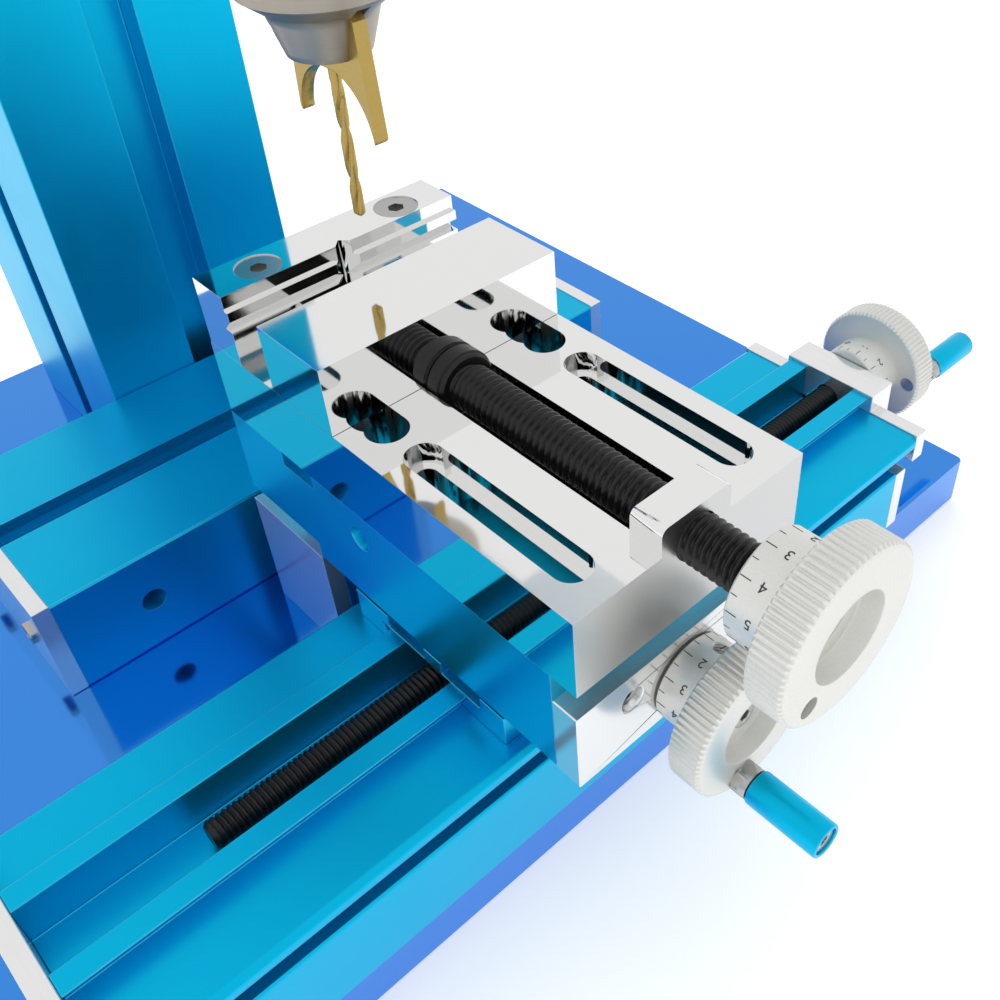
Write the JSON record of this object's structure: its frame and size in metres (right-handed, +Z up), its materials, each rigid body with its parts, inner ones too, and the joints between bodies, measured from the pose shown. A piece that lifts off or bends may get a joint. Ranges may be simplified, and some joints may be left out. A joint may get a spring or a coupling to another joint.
{
  "type": "benchtop milling machine",
  "caption": "Benchtop milling machine with dovetail slides, handwheels, machine vice, column and belt-driven spindle holding a profile cutter.",
  "frame": {"origin": "underside of the base plate, straight below the spindle axis", "axes": "+X to the machine's right, +Y to its back, +Z up along the spindle and column"},
  "size_m": [0.3636, 0.3694, 0.4461],
  "materials": {
    "violet_plate": "gloss violet-blue anodised",
    "blue_anodised": "satin blue anodised",
    "polished_plate": "polished",
    "mirror_steel": "mirror polished, nickel plated",
    "matte_silver": "matte bead blasted",
    "black_steel": "black oxide",
    "bright_steel": "bright zinc",
    "gold_coating": "gold nitride coating",
    "bronze": "machined bronze",
    "motor_shell": "satin black",
    "belt_rubber": "matt"
  },
  "bodies": {
    "frame": {"base_plate": "violet_plate", "front_bed": "blue_anodised", "front_bed_end_plates": "polished_plate", "rear_bed": "blue_anodised", "rear_bed_end_plates": "polished_plate", "centre_bed": "blue_anodised", "centre_bed_end_plates": "polished_plate", "x_rail": "blue_anodised", "x_rail_left_plate": "polished_plate", "x_rail_right_plate": "polished_plate", "column": "blue_anodised", "column_cap": "polished_plate", "z_rail": "blue_anodised", "z_rail_plates": "polished_plate", "end_plate_screws": "bright_steel"},
    "x_screw_set": {"x_dial": "matte_silver", "x_handwheel": "matte_silver", "x_leadscrew": "black_steel", "x_handle_stud": "bright_steel"},
    "x_grip": {"x_handle": "blue_anodised"},
    "saddle_set": {"saddle": "blue_anodised", "x_nut": "bronze", "y_nut": "bronze", "x_gib": "blue_anodised"},
    "table_set": {"table": "blue_anodised", "y_gib": "blue_anodised", "y_end_plate": "polished_plate", "y_plate_screws": "bright_steel", "vice_base": "mirror_steel", "fixed_jaw": "mirror_steel", "fixed_jaw_screws": "bright_steel"},
    "y_screw_set": {"y_dial": "matte_silver", "y_handwheel": "matte_silver", "y_leadscrew": "black_steel", "y_handle_stud": "bright_steel"},
    "y_grip": {"y_handle": "blue_anodised"},
    "jaw_set": {"moving_jaw": "mirror_steel"},
    "vice_screw_set": {"vice_screw": "black_steel", "vice_collar": "black_steel", "vice_dial": "matte_silver", "vice_handwheel": "matte_silver"},
    "head_set": {"z_carriage": "blue_anodised", "z_nut": "bronze", "head_spacer": "blue_anodised", "headstock": "matte_silver", "motor": "motor_shell", "drive_belt": "belt_rubber"},
    "z_screw_set": {"z_dial": "matte_silver", "z_handwheel": "matte_silver", "z_leadscrew": "black_steel", "z_handle_stud": "bright_steel"},
    "z_grip": {"z_handle": "blue_anodised"},
    "spindle_set": {"spindle": "bright_steel", "spindle_pulley": "matte_silver", "chuck": "matte_silver", "profile_cutter": "gold_coating", "centre_drill": "gold_coating"},
    "rotor_set": {"motor_rotor": "matte_silver"}
  },
  "joints": [
    {"name": "x_slide", "type": "slide", "parent": "frame", "child": "saddle_set", "axis": [1, 0, 0], "range_m": [-0.072, 0.072]},
    {"name": "x_screw_turn", "type": "hinge", "parent": "frame", "child": "x_screw_set", "pos_m": [0.1425, -0.053, 0.0545], "axis": [1, 0, 0], "range_deg": [-17300, 17300]},
    {"name": "x_handle_spin", "type": "hinge", "parent": "x_screw_set", "child": "x_grip", "pos_m": [0.17, -0.0685, 0.0545], "axis": [1, 0, 0], "continuous": true},
    {"name": "y_slide", "type": "slide", "parent": "saddle_set", "child": "table_set", "axis": [0, 1, 0], "range_m": [-0.034, 0.01]},
    {"name": "y_screw_turn", "type": "hinge", "parent": "table_set", "child": "y_screw_set", "pos_m": [0, -0.1093, 0.0765], "axis": [0, 1, 0], "range_deg": [-8180, 2420]},
    {"name": "y_handle_spin", "type": "hinge", "parent": "y_screw_set", "child": "y_grip", "pos_m": [-0.00401, -0.135, 0.06153], "axis": [0, 1, 0], "continuous": true},
    {"name": "jaw_slide", "type": "slide", "parent": "table_set", "child": "jaw_set", "axis": [0, 1, 0], "range_m": [-0.055, 0.0145]},
    {"name": "vice_screw_turn", "type": "hinge", "parent": "jaw_set", "child": "vice_screw_set", "pos_m": [0, -0.03, 0.1215], "axis": [0, 1, 0], "range_deg": [-9920, 2630]},
    {"name": "z_slide", "type": "slide", "parent": "frame", "child": "head_set", "axis": [0, 0, 1], "range_m": [-0.03, 0.055]},
    {"name": "z_screw_turn", "type": "hinge", "parent": "frame", "child": "z_screw_set", "pos_m": [0, 0.11, 0.401], "axis": [0, 0, 1], "range_deg": [-13220, 7220]},
    {"name": "z_handle_spin", "type": "hinge", "parent": "z_screw_set", "child": "z_grip", "pos_m": [-0.0127, 0.10111, 0.43], "axis": [0, 0, 1], "continuous": true},
    {"name": "spindle_spin", "type": "hinge", "parent": "head_set", "child": "spindle_set", "pos_m": [0, 0, 0.2], "axis": [0, 0, 1], "continuous": true},
    {"name": "motor_spin", "type": "hinge", "parent": "head_set", "child": "rotor_set", "pos_m": [0.062, 0, 0.29], "axis": [0, 0, 1], "continuous": true}
  ],
  "couplings": [
    {"joint": "x_screw_turn", "follows": "x_slide", "rad_per_m": -4188.8},
    {"joint": "y_screw_turn", "follows": "y_slide", "rad_per_m": 4188.8},
    {"joint": "vice_screw_turn", "follows": "jaw_slide", "rad_per_m": 3141.6},
    {"joint": "z_screw_turn", "follows": "z_slide", "rad_per_m": -4188.8},
    {"joint": "motor_spin", "follows": "spindle_spin", "ratio": 2}
  ]
}
